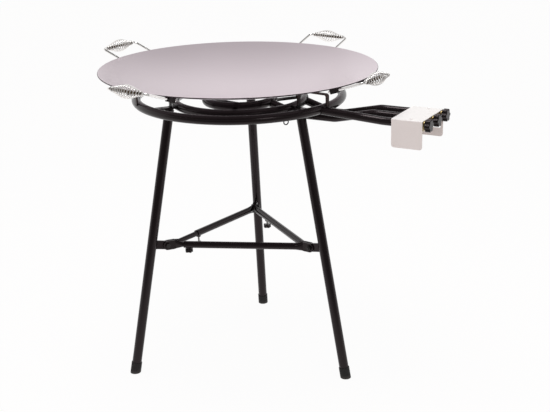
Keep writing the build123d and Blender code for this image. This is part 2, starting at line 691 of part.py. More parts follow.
lock_spots = []
for number, (tube_leg, rod_leg, lock_distance, mouth_distance, stud_length) in enumerate(BRACES, start=1):
    side = 1 if (rod_leg - tube_leg) % 360 < 180 else -1
    tube_start = tab_middle(tube_leg, side)
    rod_start = tab_middle(rod_leg, -side)
    span = (rod_start - tube_start).length
    along = (rod_start - tube_start).normalized()
    lock_spot = rod_start - along * (lock_distance - TAB_LENGTH)
    mouth = span - (mouth_distance - TAB_LENGTH)
    lock_spots.append((lock_spot, along, stud_length))

    tube = brace_half(tube_leg, side, rod_start, BRACE_TUBE, mouth, lock_spot)
    save(tube, f"brace_tube_{number}")

    rod = brace_half(rod_leg, -side, tube_start, BRACE_ROD, span - mouth + ROD_INSERT)
    save(rod, f"brace_rod_{number}")

with BuildPart() as collars:
    for spot, along, _ in lock_spots:
        with BuildSketch(Plane(origin=(spot.X, spot.Y, COLLAR_BOTTOM))):
            Circle(COLLAR_DIAMETER / 2)
            Circle(STUD_HOLE, mode=Mode.SUBTRACT)
        extrude(amount=COLLAR_HEIGHT + BRACE_TUBE / 2)
        with BuildSketch(Plane(origin=spot, z_dir=along)):
            Circle(BRACE_TUBE / 2 + WELD_GAP)
        extrude(amount=COLLAR_DIAMETER, both=True, mode=Mode.SUBTRACT)
save(collars, "lock_collars")

for number, (spot, _, stud_length) in enumerate(lock_spots, start=1):
    knob_top = STUD_TOP - stud_length + STUD_IN_KNOB
    with BuildPart() as stud:
        with BuildSketch(Plane(origin=(spot.X, spot.Y, STUD_TOP))):
            Circle(STUD_DIAMETER / 2)
        extrude(amount=-stud_length)
    save(stud, f"lock_stud_{number}")

    with BuildPart() as knob:
        with BuildSketch(Plane(origin=(spot.X, spot.Y, knob_top))):
            Circle(LOCK_KNOB_DIAMETER / 2)
            with PolarLocations(LOCK_KNOB_DIAMETER / 2, LOCK_KNOB_FLUTES):
                Circle(LOCK_KNOB_FLUTE / 2, mode=Mode.SUBTRACT)
        extrude(amount=-LOCK_KNOB_HEIGHT)
        fillet(knob.faces().sort_by(Axis.Z)[0].edges(), radius=LOCK_KNOB_ROUND)
        with BuildSketch(Plane(origin=(spot.X, spot.Y, knob_top))):
            Circle(STUD_HOLE)
        extrude(amount=-STUD_IN_KNOB, mode=Mode.SUBTRACT)
    save(knob, f"lock_knob_{number}")

# Gas taps, with their noses in the feed pipes and their stubs in the rail
tap_spots = [(place, TAP_HEIGHT) for place in TAP_PLACES]
with BuildPart() as taps:
    with BuildSketch(Plane.YZ.offset(PIPE_END - TAP_NOSE)):
        with Locations(*tap_spots):
            Circle(PIPE_BORE / 2 - RUNNING_CLEARANCE)
    extrude(amount=TAP_NOSE + WELD_GAP)
    with BuildSketch(Plane.YZ.offset(PIPE_END + WELD_GAP)):
        with Locations(*tap_spots):
            RegularPolygon(TAP_HEX_WIDTH / 2, 6, major_radius=False)
    extrude(amount=TAP_HEX_LENGTH)
    with BuildSketch(Plane.YZ.offset(TAP_BARREL_START)):
        with Locations(*tap_spots):
            Circle(TAP_BARREL / 2)
    extrude(amount=TAP_BARREL_LENGTH)
    with BuildSketch(Plane.YZ.offset(TAP_BARREL_END)):
        with Locations(*tap_spots):
            Circle(TAP_BONNET / 2)
    extrude(amount=TAP_BONNET_LENGTH)
    with BuildSketch(Plane.YZ.offset(TAP_BONNET_END)):
        with Locations(*tap_spots):
            Circle(TAP_FLANGE / 2)
    extrude(amount=TAP_FLANGE_LENGTH)
    with BuildSketch(Plane.XY.offset(TAP_HEIGHT)):
        with Locations(*[(RAIL_PLACE, place) for place in TAP_PLACES]):
            Circle(TAP_STUB / 2)
    extrude(amount=-(RAIL_DROP - RAIL_TUBE / 2 + TAP_STUB_DEPTH))
    with BuildSketch(Plane.YZ.offset(PIPE_END - TAP_NOSE)):
        with Locations(*tap_spots):
            Circle(INJECTOR_SHANK / 2 + RUNNING_CLEARANCE)
    extrude(amount=INJECTOR_SHANK_LENGTH, mode=Mode.SUBTRACT)
    with BuildSketch(Plane.YZ.offset(TAP_END)):
        with Locations(*tap_spots):
            Circle(SPINDLE_DIAMETER / 2 + RUNNING_CLEARANCE)
    extrude(amount=-SPINDLE_SEAT, mode=Mode.SUBTRACT)
    with BuildSketch(Plane.XY.offset(TAP_HEIGHT + TAP_BARREL / 2)):
        with Locations((SCREW_SPOT, TAP_PLACES[0]), (SCREW_SPOT, TAP_PLACES[2])):
            Circle(SCREW_DIAMETER / 2 + RUNNING_CLEARANCE)
    extrude(amount=-SCREW_DEPTH, mode=Mode.SUBTRACT)
save(taps, "tap_bodies")

with BuildPart() as injectors:
    with BuildSketch(Plane.YZ.offset(PIPE_END - TAP_NOSE)):
        with Locations(*tap_spots):
            Circle(INJECTOR_DIAMETER / 2)
    extrude(amount=-INJECTOR_LENGTH)
    fillet(injectors.faces().group_by(Axis.X)[0].edges(), radius=INJECTOR_JET)
    with BuildSketch(Plane.YZ.offset(PIPE_END - TAP_NOSE)):
        with Locations(*tap_spots):
            Circle(INJECTOR_SHANK / 2)
    extrude(amount=INJECTOR_SHANK_LENGTH)
    with BuildSketch(Plane.YZ.offset(PIPE_END - TAP_NOSE - INJECTOR_LENGTH)):
        with Locations(*tap_spots):
            Circle(INJECTOR_JET / 2)
    extrude(amount=INJECTOR_LENGTH + INJECTOR_SHANK_LENGTH, mode=Mode.SUBTRACT)
save(injectors, "injectors")

# Tap spindles and the fluted knobs on them, with a lobe to each side while the taps are shut
SPINDLE_END = KNOB_END - KNOB_FACE
FLUTE_PLACE = KNOB_DIAMETER / 2 + KNOB_FLUTE / 2 - KNOB_FLUTE_DEPTH
FLUTE_TURN = 180 / KNOB_FLUTES
for number, spot in enumerate(tap_spots, start=1):
    with BuildPart() as spindle:
        with BuildSketch(Plane.YZ.offset(TAP_END - SPINDLE_SEAT + SEAT_GAP)):
            with Locations(spot):
                Circle(SPINDLE_DIAMETER / 2)
        extrude(amount=SPINDLE_END - TAP_END + SPINDLE_SEAT - SEAT_GAP)
    save(spindle, f"tap_spindle_{number}")

    with BuildPart() as knob:
        with BuildSketch(Plane.YZ.offset(KNOB_GRIP_START)) as lobes:
            with Locations(spot):
                Circle(KNOB_DIAMETER / 2)
                with PolarLocations(FLUTE_PLACE, KNOB_FLUTES, start_angle=FLUTE_TURN):
                    Circle(KNOB_FLUTE / 2, mode=Mode.SUBTRACT)
            fillet(lobes.vertices(), radius=KNOB_LOBE_ROUND)
        extrude(amount=KNOB_LENGTH)
        fillet(knob.faces().sort_by(Axis.X)[-1].edges(), radius=KNOB_ROUND)
        with BuildSketch(Plane.YZ.offset(KNOB_START)):
            with Locations(spot):
                Circle(KNOB_SKIRT / 2)
        extrude(amount=KNOB_SKIRT_LENGTH)
        with BuildSketch(Plane.YZ.offset(KNOB_START)):
            with Locations(spot):
                Circle(SPINDLE_DIAMETER / 2 + RUNNING_CLEARANCE)
        extrude(amount=SPINDLE_END - KNOB_START, mode=Mode.SUBTRACT)
    save(knob, f"tap_knob_{number}")

# Manifold rail, shut at one end and open to the hose spigot at the other
with BuildPart() as rail:
    with BuildSketch(Plane.XZ.offset(-RAIL_HALF)):
        with Locations((RAIL_PLACE, RAIL_HEIGHT)):
            Circle(RAIL_TUBE / 2)
    extrude(amount=2 * RAIL_HALF)
    with BuildSketch(Plane.XZ.offset(-RAIL_HALF + INLET_SHANK_LENGTH)):
        with Locations((RAIL_PLACE, RAIL_HEIGHT)):
            Circle(RAIL_TUBE / 2 - RAIL_WALL)
    extrude(amount=2 * RAIL_HALF - INLET_SHANK_LENGTH - RAIL_END, mode=Mode.SUBTRACT)
    with BuildSketch(Plane.XZ.offset(-RAIL_HALF)):
        with Locations((RAIL_PLACE, RAIL_HEIGHT)):
            Circle(INLET_SHANK / 2 + RUNNING_CLEARANCE)
    extrude(amount=INLET_SHANK_LENGTH, mode=Mode.SUBTRACT)
    with BuildSketch(Plane.XY.offset(RAIL_HEIGHT)):
        with Locations(*[(RAIL_PLACE, place) for place in TAP_PLACES]):
            Circle(TAP_STUB / 2 + RUNNING_CLEARANCE)
    extrude(amount=RAIL_TUBE, mode=Mode.SUBTRACT)
save(rail, "manifold_rail")

# Inlet fitting, from its shank in the rail out through the shield's window to the hose spigot
INLET_STEPS = [
    (INLET_SHANK, RAIL_HALF - INLET_SHANK_LENGTH, RAIL_HALF),
    (INLET_NECK, RAIL_HALF + INLET_HEX_LENGTH, RAIL_HALF + INLET_HEX_LENGTH + INLET_NECK_LENGTH),
]
SPIGOT_START = INLET_STEPS[-1][2]
SPIGOT_END = SPIGOT_START + HOSE_SPIGOT_LENGTH
with BuildPart() as inlet:
    for diameter, start, end in INLET_STEPS + [(HOSE_SPIGOT, SPIGOT_START, SPIGOT_END)]:
        with BuildSketch(Plane.XZ.offset(-end)):
            with Locations((RAIL_PLACE, RAIL_HEIGHT)):
                Circle(diameter / 2)
        extrude(amount=end - start)
    with BuildSketch(Plane.XZ.offset(-RAIL_HALF - INLET_HEX_LENGTH)):
        with Locations((RAIL_PLACE, RAIL_HEIGHT)):
            RegularPolygon(INLET_HEX_WIDTH / 2, 6, major_radius=False)
    extrude(amount=INLET_HEX_LENGTH)
    with BuildSketch(Plane.XZ.offset(-SPIGOT_END)):
        with Locations((RAIL_PLACE, RAIL_HEIGHT)):
            Circle(INLET_BORE / 2)
    extrude(amount=SPIGOT_END - RAIL_HALF + INLET_SHANK_LENGTH, mode=Mode.SUBTRACT)
save(inlet, "gas_inlet")

# Heat shield, a sheet folded down on both sides of the taps with a window for the inlet, and its screws
with BuildPart() as shield:
    with BuildSketch(Plane.YZ.offset(SHIELD_START)) as fold:
        with Locations((0, SHIELD_TOP - SHIELD_DROP / 2)):
            Rectangle(2 * SHIELD_HALF, SHIELD_DROP)
        fillet(fold.vertices().group_by(Axis.Y)[-1], radius=SHIELD_FOLD)
        offset(amount=-SHIELD_SHEET, mode=Mode.SUBTRACT)
        with Locations((0, SHIELD_TOP - SHIELD_DROP)):
            Rectangle(2 * (SHIELD_HALF - SHIELD_SHEET), 4 * SHIELD_SHEET, mode=Mode.SUBTRACT)
    extrude(amount=SHIELD_LENGTH)
    fillet(shield.edges().filter_by(Axis.Y).group_by(Axis.Z)[0], radius=SHIELD_CORNER)
    with BuildSketch(Plane.XZ.offset(-SHIELD_HALF)):
        with Locations((RAIL_PLACE, RAIL_HEIGHT - WINDOW_DROP)):
            RectangleRounded(WINDOW_LENGTH, WINDOW_HEIGHT, WINDOW_CORNER)
    extrude(amount=SHIELD_HALF, mode=Mode.SUBTRACT)
    with BuildSketch(Plane.XY.offset(SHIELD_UNDER)):
        with Locations((SCREW_SPOT, TAP_PLACES[0]), (SCREW_SPOT, TAP_PLACES[2])):
            Circle(SCREW_DIAMETER / 2 + BOLT_CLEARANCE)
    extrude(amount=2 * SHIELD_SHEET, mode=Mode.SUBTRACT)
save(shield, "heat_shield")

with BuildPart() as screws:
    with BuildSketch(Plane.XY.offset(SHIELD_TOP)):
        with Locations((SCREW_SPOT, TAP_PLACES[0]), (SCREW_SPOT, TAP_PLACES[2])):
            Circle(SCREW_HEAD / 2)
    extrude(amount=SCREW_HEAD_HEIGHT)
    fillet(screws.faces().group_by(Axis.Z)[-1].edges(), radius=SCREW_HEAD_ROUND)
    with BuildSketch(Plane.XY.offset(SHIELD_TOP)):
        with Locations((SCREW_SPOT, TAP_PLACES[0]), (SCREW_SPOT, TAP_PLACES[2])):
            Circle(SCREW_DIAMETER / 2)
    extrude(amount=-(SHIELD_TOP - TAP_HEIGHT - TAP_BARREL / 2 + SCREW_DEPTH - SEAT_GAP))
save(screws, "shield_screws")

# Wire eye welded under the outer ring
EYE_TOP = RING_BOTTOM - WELD_GAP
eye_middle = outward(EYE_AZIMUTH) * OUTER_RING_RADIUS + Vector(0, 0, EYE_TOP)
eye_plane = Plane(origin=eye_middle, x_dir=sideways(EYE_AZIMUTH), z_dir=outward(EYE_AZIMUTH))
with BuildPart() as eye:
    with BuildLine(eye_plane) as loop:
        half = (EYE_WIDTH - EYE_WIRE) / 2
        bend_height = EYE_DROP - EYE_WIRE / 2 - half
        Line((-half, 0), (-half, -bend_height))
        ThreePointArc((-half, -bend_height), (0, -bend_height - half), (half, -bend_height))
        Line((half, -bend_height), (half, 0))
    with BuildSketch(Plane(origin=loop.line @ 0, z_dir=loop.line % 0)):
        Circle(EYE_WIRE / 2)
    sweep(path=loop.line)
save(eye, "ring_eye")
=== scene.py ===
"""A round gas griddle with spring-grip handles, over a three-ring burner on a three-legged stand.

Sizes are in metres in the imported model's frame, where +X runs along the feed pipes to the taps
and +Z is up from the floor.
"""

import math

import bpy
from mathutils import Matrix, Vector


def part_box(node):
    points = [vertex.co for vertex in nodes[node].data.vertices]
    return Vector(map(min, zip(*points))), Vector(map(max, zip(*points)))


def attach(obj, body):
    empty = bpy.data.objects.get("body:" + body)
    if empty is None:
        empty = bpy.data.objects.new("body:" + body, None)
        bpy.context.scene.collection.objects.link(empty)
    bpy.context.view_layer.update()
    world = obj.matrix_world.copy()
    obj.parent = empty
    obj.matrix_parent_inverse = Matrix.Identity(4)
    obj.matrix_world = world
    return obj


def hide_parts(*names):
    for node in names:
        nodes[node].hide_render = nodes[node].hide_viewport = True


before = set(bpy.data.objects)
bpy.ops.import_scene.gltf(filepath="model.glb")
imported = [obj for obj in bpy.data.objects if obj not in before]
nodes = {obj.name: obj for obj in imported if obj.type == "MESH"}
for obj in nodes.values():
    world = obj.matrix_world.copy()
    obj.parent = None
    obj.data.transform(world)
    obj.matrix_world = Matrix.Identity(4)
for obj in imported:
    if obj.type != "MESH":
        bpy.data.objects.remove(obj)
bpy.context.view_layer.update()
scene = bpy.context.scene
scene.view_settings.view_transform = "Standard"

# Camera, a long lens that looks down on the griddle from 60 degrees round from the taps.
# The lens axis stands right of the middle of the frame, as in a picture cropped off centre.
picture_width = 550
lens_axis_column = 325
lens_in_pixels = 1153.06
sensor_width = 36
camera_azimuth = 30.317
camera_reach = 3.22606
camera_height = 1.52959
camera_heading = 26.059
camera_pitch = 18.445
camera_roll = -0.64

lens = bpy.data.cameras.new("camera")
lens.sensor_width = sensor_width
lens.lens = lens_in_pixels * sensor_width / picture_width
lens.shift_x = (picture_width / 2 - lens_axis_column) / picture_width
camera = bpy.data.objects.new("camera", lens)
scene.collection.objects.link(camera)
scene.camera = camera
camera_turn = math.radians(camera_azimuth)
standing = Vector((math.sin(camera_turn), -math.cos(camera_turn), 0))
camera.matrix_world = (
    Matrix.Translation(standing * camera_reach + Vector((0, 0, camera_height)))
    @ Matrix.Rotation(math.radians(camera_heading), 4, "Z")
    @ Matrix.Rotation(math.radians(90 - camera_pitch), 4, "X")
    @ Matrix.Rotation(math.radians(camera_roll), 4, "Z")
)


# Studio, a white wall that darkens overhead, a floor that darkens on the camera's side, two lamps.
# Mirror rays see that room, which is dark on the camera's side, and camera rays see plain white.
# Scattered light is warm low down and grey higher up.
class Flow:
    """One socket of a node tree. Arithmetic on it adds Math nodes, node() adds any other node."""

    def __init__(self, tree, socket=None):
        self.tree = tree
        self.socket = socket

    def node(self, kind, settings=None, values=None, out=0):
        """Adds a node, sets it up, fills or links its sockets, and gives one of its outputs."""
        added = self.tree.nodes.new(kind)
        for name, setting in (settings or {}).items():
            if name == "stops":
                ramp = added.color_ramp.elements
                while len(ramp) < len(setting):
                    ramp.new(0.5)
                for stop, (place, grey) in zip(ramp, setting):
                    stop.position = place
                    stop.color = (grey, grey, grey, 1)
            else:
                setattr(added, name, setting)
        for name, value in (values or {}).items():
            if isinstance(value, Flow):
                self.tree.links.new(value.socket, added.inputs[name])
            else:
                added.inputs[name].default_value = value
        return Flow(self.tree, added.outputs[out])

    def math(self, operation, other=0.0):
        return self.node("ShaderNodeMath", {"operation": operation}, {0: self, 1: other})

    def __add__(self, other):
        return self.math("ADD", other)

    def __mul__(self, other):
        return self.math("MULTIPLY", other)

    def __sub__(self, other):
        return self.math("SUBTRACT", other)

    def __truediv__(self, other):
        return self.math("DIVIDE", other)

    def __rsub__(self, other):
        return self.node("ShaderNodeMath", {"operation": "SUBTRACT"}, {0: other, 1: self})

    __radd__ = __add__
    __rmul__ = __mul__

    def between(self, low, high):
        """Colour that goes from low to high as this value goes from 0 to 1."""
        ends = [(*shade, 1) if isinstance(shade, tuple) else shade for shade in (low, high)]
        values = {0: self, 6: ends[0], 7: ends[1]}
        return self.node("ShaderNodeMix", {"data_type": "RGBA"}, values, 2)


def rays(tree, *kinds):
    """1 for a ray of any of these kinds, and 0 for the rest."""
    path = tree.nodes.new("ShaderNodeLightPath")
    found = Flow(tree, path.outputs[f"Is {kinds[0]} Ray"])
    for kind in kinds[1:]:
        found = found.math("MAXIMUM", Flow(tree, path.outputs[f"Is {kind} Ray"]))
    return found


def parts_of(point):
    """The three values of a vector socket."""
    values = {"Vector": point}
    return [point.node("ShaderNodeSeparateXYZ", values=values, out=axis) for axis in "XYZ"]


def level_along(point, way):
    """How far a point lies along a level direction."""
    east, north, _ = parts_of(point)
    return east * way[0] + north * way[1]


def fade(value, start, end, low=0.0, high=1.0):
    """Value that goes smoothly from low to high as the given one goes from start to end."""
    return value.node(
        "ShaderNodeMapRange",
        {"interpolation_type": "SMOOTHSTEP"},
        {"Value": value, "From Min": start, "From Max": end, "To Min": low, "To Max": high},
    )


white = (1.0, 1.0, 1.0)
wall_greys = [(0.34, 0.97), (0.56, 0.7), (0.78, 0.38), (0.9, 0.14), (1.0, 0.06)]
dark_side_greys = [(0.0, 0.55), (0.2, 0.28), (1.0, 0.06)]
dark_side_start, dark_side_full = -0.15, 0.5
low_light, high_light = (0.67, 0.535, 0.505), (0.6, 0.6, 0.6)
high_light_full = 0.6

room = bpy.data.worlds.new("white_room")
room.use_nodes = True
room_tree = room.node_tree
scene.world = room
direction = Flow(room_tree).node("ShaderNodeTexCoord", out="Generated")
_, _, climb = parts_of(direction)
wall = climb.node("ShaderNodeValToRGB", {"stops": wall_greys}, {"Fac": climb})
dark_side = climb.node("ShaderNodeValToRGB", {"stops": dark_side_greys}, {"Fac": climb})
behind_camera = fade(level_along(direction, standing), dark_side_start, dark_side_full)
mirror_image = behind_camera.between(wall, dark_side)
scattered = fade(climb, 0.0, high_light_full).between(low_light, high_light)
mirrored = rays(room_tree, "Glossy", "Transmission").between(scattered, mirror_image)
shown = rays(room_tree, "Camera").between(mirrored, white)
room_tree.links.new(shown.socket, room_tree.nodes["Background"].inputs["Color"])

floor_half = 30.0
floor_colour = (0.9, 0.82, 0.8, 1)
floor_fade_start, floor_fade_end, floor_darkest = 0.2, 2.2, 0.12
shadow_share = 0.045

floor_paint = bpy.data.materials.new("studio_floor")
floor_paint.use_nodes = True
floor_tree = floor_paint.node_tree
floor_tree.nodes.remove(floor_tree.nodes["Principled BSDF"])
matt = Flow(floor_tree).node("ShaderNodeBsdfDiffuse", values={"Color": floor_colour})
floor_spot = matt.node("ShaderNodeTexCoord", out="Object")
floor_reach = level_along(floor_spot, standing)
lit_floor = fade(floor_reach, floor_fade_start, floor_fade_end, 1.0, floor_darkest)
floor_shade = rays(floor_tree, "Camera").between(lit_floor, white)
glow = matt.node("ShaderNodeEmission", values={"Color": floor_shade, "Strength": 1.0})
glow_share = rays(floor_tree, "Camera", "Glossy", "Transmission") * (1 - shadow_share)
floor_look = matt.node("ShaderNodeMixShader", values={0: glow_share, 1: matt, 2: glow})
floor_tree.links.new(floor_look.socket, floor_tree.nodes["Material Output"].inputs["Surface"])

floor_corners = [(-floor_half, -floor_half, 0), (floor_half, -floor_half, 0)]
floor_corners += [(floor_half, floor_half, 0), (-floor_half, floor_half, 0)]
floor_mesh = bpy.data.meshes.new("floor")
floor_mesh.from_pydata(floor_corners, [], [(0, 1, 2, 3)])
floor_mesh.materials.append(floor_paint)
floor = bpy.data.objects.new("floor", floor_mesh)
scene.collection.objects.link(floor)


def softbox(name, place, aim, size, power):
    """A square soft lamp at a place, turned to what it lights."""
    data = bpy.data.lights.new(name, "AREA")
    data.size = size
    data.energy = power
    lamp = bpy.data.objects.new(name, data)
    lamp.location = place
    lamp.rotation_mode = "QUATERNION"
    lamp.rotation_quaternion = (Vector(aim) - Vector(place)).to_track_quat("-Z", "Y")
    scene.collection.objects.link(lamp)


softbox("top_softbox", place=(-0.2, -0.2, 3.2), aim=(0.1, 0, 0.8), size=1.3, power=34)
softbox("side_softbox", place=(2.6, -1.6, 2.2), aim=(0.1, 0, 0.7), size=0.9, power=7)


# Legs, thin-walled steel tubes pushed on to spigots under the burner and sprayed semi-gloss black.
# The paint shows a fine orange peel and thin cloudy patches.
def finish(name, surface, **constants):
    """New material: surface gives the sockets that change over the piece, constants the rest."""
    made = bpy.data.materials.new(name)
    made.use_nodes = True
    tree = made.node_tree
    shader = tree.nodes["Principled BSDF"]
    for label, value in constants.items():
        shader.inputs[label.replace("_", " ")].default_value = value
    place = Flow(tree).node("ShaderNodeTexCoord", out="Object")
    for label, flow in surface(place).items():
        tree.links.new(flow.socket, shader.inputs[label])
    return made


def cloud(place, scale, detail=3.0, stretch=(1, 1, 1)):
    """Noise from 0 to 1 with scale features for each metre, times stretch along each axis."""
    if stretch != (1, 1, 1):
        place = place.node("ShaderNodeMapping", values={"Vector": place, "Scale": stretch})
    values = {"Vector": place, "Scale": scale, "Detail": detail, "Roughness": 0.55}
    return place.node("ShaderNodeTexNoise", values=values)


def relief(height, depth):
    """Bumped normal from a height that goes from 0 to 1 over a depth in metres."""
    values = {"Strength": 1.0, "Distance": depth, "Height": height}
    return height.node("ShaderNodeBump", values=values, out="Normal")


def sprayed_black(place):
    patches = cloud(place, scale=9, detail=4.0)
    grain = cloud(place, scale=260, detail=2.0)
    return {
        "Base Color": patches.between((0.0052, 0.0038, 0.0043), (0.0098, 0.0074, 0.0082)),
        "Roughness": 0.14 + patches * 0.12,
        "Normal": relief(grain, depth=0.00003),
    }


warm_gloss = (1.0, 0.84, 0.87, 1.0)
black_paint = finish(
    "black_paint",
    sprayed_black,
    Specular_IOR_Level=0.3,
    Specular_Tint=warm_gloss,
)


def dress(material, *names):
    """Gives CAD nodes their finished material."""
    for name in names:
        for slot in nodes[name].material_slots:
            slot.material = material


def numbered(stem, count):
    """Names of a set of like nodes."""
    return [f"{stem}_{k}" for k in range(1, count + 1)]


leg_count = 3
dress(black_paint, "leg_spigots", *numbered("leg", leg_count))

# Foot caps, moulded rubber pushed over the ends of the legs.
# Dusty matt black, greyer and scuffed where they meet the floor.
scuff_height = 0.012


def moulded_rubber(place):
    _, _, height = parts_of(place)
    scuff = cloud(place, scale=160, detail=5.0)
    low = (1 - height / scuff_height).math("MAXIMUM", 0.0)
    worn = (low * (0.35 + scuff)).math("MINIMUM", 1.0)
    return {
        "Base Color": worn.between((0.013, 0.012, 0.0125), (0.075, 0.07, 0.068)),
        "Roughness": 0.58 + scuff * 0.25,
        "Normal": relief(cloud(place, scale=900, detail=2.0), depth=0.00005),
    }


black_rubber = finish("black_rubber", moulded_rubber, Specular_IOR_Level=0.35)
dress(black_rubber, *numbered("foot_cap", leg_count))


# Braces, a rod sliding in a tube between each pair of legs, bolted to lugs welded on the legs.
# The tubes, rods, lugs and collars are painted with the legs; bolts and nuts are blackened steel.
def blackened_steel(place):
    tone = cloud(place, scale=220, detail=4.0)
    return {
        "Base Color": tone.between((0.012, 0.0115, 0.012), (0.05, 0.046, 0.045)),
        "Roughness": 0.3 + tone * 0.22,
        "Normal": relief(cloud(place, scale=700, detail=2.0), depth=0.00003),
    }


black_steel = finish("black_steel", blackened_steel, Metallic=0.55)
dress(black_paint, "brace_lugs", "lock_collars")
dress(black_paint, *numbered("brace_tube", leg_count), *numbered("brace_rod", leg_count))
dress(black_steel, "brace_bolts", "brace_nuts")


# Lock screws, threaded studs that clamp the sliding rods, with a fluted plastic knob under each.
# The zinc-plated thread is cut as a ridge that winds up the stud; the knobs are gloss plastic.
class Shape(Flow):
    """A new geometry tree with its named sizes as inputs."""

    smooth_under = math.radians(38)

    def __init__(self, name, **sizes):
        super().__init__(bpy.data.node_groups.new(name, "GeometryNodeTree"))
        rim = self.tree.interface
        rim.new_socket("Geometry", in_out="INPUT", socket_type="NodeSocketGeometry")
        rim.new_socket("Geometry", in_out="OUTPUT", socket_type="NodeSocketGeometry")
        self.sizes = sizes
        for label, size in sizes.items():
            kind = "NodeSocketInt" if isinstance(size, int) else "NodeSocketFloat"
            rim.new_socket(label, in_out="INPUT", socket_type=kind)
        self.given = self.tree.nodes.new("NodeGroupInput")

    def __getitem__(self, label):
        return Flow(self.tree, self.given.outputs[label])

    def end(self, mesh, material):
        """Closes the tree: what was instanced becomes one mesh, smooth but for its sharp edges."""
        whole = mesh.node("GeometryNodeRealizeInstances", values={"Geometry": mesh})
        bend = whole.node("GeometryNodeInputMeshEdgeAngle")
        gentle = bend.math("LESS_THAN", self.smooth_under)
        for domain, smooth in (("FACE", True), ("EDGE", gentle)):
            values = {"Geometry": whole, "Shade Smooth": smooth}
            whole = whole.node("GeometryNodeSetShadeSmooth", {"domain": domain}, values)
        values = {"Geometry": whole, "Material": material}
        dressed = whole.node("GeometryNodeSetMaterial", values=values)
        self.tree.links.new(dressed.socket, self.tree.nodes.new("NodeGroupOutput").inputs[0])

    def make(self, name, body, slot, *replaced, start=None, **sizes):
        """Runs the tree on a start mesh and keeps the result as a plain piece that rides a body."""
        piece = bpy.data.objects.new(name, start or bpy.data.meshes.new(f"{name}_start"))
        scene.collection.objects.link(piece)
        growth = piece.modifiers.new("shape", "NODES")
        growth.node_group = self.tree
        for item in self.tree.interface.items_tree:
            if item.in_out == "INPUT" and item.name in self.sizes:
                growth[item.identifier] = sizes.get(item.name, self.sizes[item.name])
        view = bpy.context.evaluated_depsgraph_get()
        mesh = bpy.data.meshes.new_from_object(piece.evaluated_get(view), depsgraph=view)
        piece.modifiers.remove(growth)
        piece.data = mesh
        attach(piece, body)
        if replaced:
            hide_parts(*replaced)
        return piece


def vector(x=0.0, y=0.0, z=0.0):
    """Vector socket from three values, of which at least one is a flow."""
    first = next(part for part in (x, y, z) if isinstance(part, Flow))
    return first.node("ShaderNodeCombineXYZ", values={"X": x, "Y": y, "Z": z})


def plated(place):
    tone = cloud(place, scale=1.0, detail=2.0, stretch=(90, 900, 900))
    return {
        "Base Color": tone.between((0.46, 0.45, 0.44), (0.68, 0.67, 0.65)),
        "Roughness": 0.2 + tone * 0.15,
    }


plated_steel = finish("plated_steel", plated, Metallic=1.0)
stud = Shape(
    "lock_stud",
    Radius=0.003,
    Length=0.02,
    Pitch=0.001,
    Depth=0.0005,
    East=0.0,
    North=0.0,
    Middle=0.0,
)
rows_per_turn = 5
rows = stud["Length"] / stud["Pitch"] * rows_per_turn
shank = stud.node(
    "GeometryNodeMeshCylinder",
    values={
        "Vertices": 20,
        "Side Segments": rows,
        "Radius": stud["Radius"],
        "Depth": stud["Length"],
    },
)
easting, northing, rise = parts_of(stud.node("GeometryNodeInputPosition"))
winding = northing.math("ARCTAN2", easting) / math.tau
ridge = (rise / stud["Pitch"] - winding).math("PINGPONG", 0.5) * 2
thinner = 1 - ridge * stud["Depth"] / stud["Radius"]
threaded = vector(
    easting * thinner + stud["East"],
    northing * thinner + stud["North"],
    rise + stud["Middle"],
)
thread = stud.node("GeometryNodeSetPosition", values={"Geometry": shank, "Position": threaded})
stud.end(thread, plated_steel)
for k in range(1, leg_count + 1):
    low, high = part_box(f"lock_stud_{k}")
    centre = (low + high) / 2
    stud.make(
        f"threaded_stud_{k}",
        f"lock_{k}",
        "plated_steel",
        f"lock_stud_{k}",
        Length=high.z - low.z,
        East=centre.x,
        North=centre.y,
        Middle=centre.z,
    )


def gloss_moulding(place):
    tone = cloud(place, scale=45)
    return {
        "Base Color": tone.between((0.005, 0.0045, 0.005), (0.0095, 0.0085, 0.009)),
        "Roughness": 0.16 + tone * 0.14,
        "Normal": relief(cloud(place, scale=480, detail=2.0), depth=0.00004),
    }


black_plastic = finish(
    "black_plastic",
    gloss_moulding,
    Specular_IOR_Level=0.3,
    Specular_Tint=warm_gloss,
)
dress(black_plastic, *numbered("lock_knob", leg_count))

# Burner rings, three tubes bent to circles and drilled with two staggered rows of flame ports.
# They are painted with the stand, and the two smaller ones sit a little lower than the outer one.
# Each has the radius and height of its tube's middle line, and its number of ports.
ring_tube = 0.025
drill_length = 0.012
rings = {
    "outer": (0.292, 0.792, 116),
    "middle": (0.184, 0.7815, 72),
    "inner": (0.095, 0.7815, 38),
}

ring = Shape(
    "burner_ring",
    Radius=0.1,
    Tube=ring_tube,
    Height=0.79,
    Ports=40,
    Port=0.0026,
    Lean=0.4,
)
tube_radius = ring["Tube"] / 2
hoop = ring.node(
    "GeometryNodeCurvePrimitiveCircle",
    values={"Resolution": 288, "Radius": ring["Radius"]},
)
section = ring.node(
    "GeometryNodeCurvePrimitiveCircle",
    values={"Resolution": 28, "Radius": tube_radius},
)
bent = ring.node("GeometryNodeCurveToMesh", values={"Curve": hoop, "Profile Curve": section})
bent = ring.node(
    "GeometryNodeTransform",
    values={"Geometry": bent, "Translation": vector(z=ring["Height"])},
)
count = ring.node("GeometryNodeInputIndex")
round_ring = count / ring["Ports"] * math.tau
lean = (count.math("MODULO", 2.0) - 0.5) * 2 * ring["Lean"]
from_axis = ring["Radius"] + lean.math("SINE") * tube_radius
port_spot = vector(
    from_axis * round_ring.math("COSINE"),
    from_axis * round_ring.math("SINE"),
    ring["Height"] + lean.math("COSINE") * tube_radius,
)
ports = ring.node("GeometryNodePoints", values={"Count": ring["Ports"], "Position": port_spot})
drill = ring.node(
    "GeometryNodeMeshCylinder",
    values={"Vertices": 10, "Radius": ring["Port"] / 2, "Depth": drill_length},
)
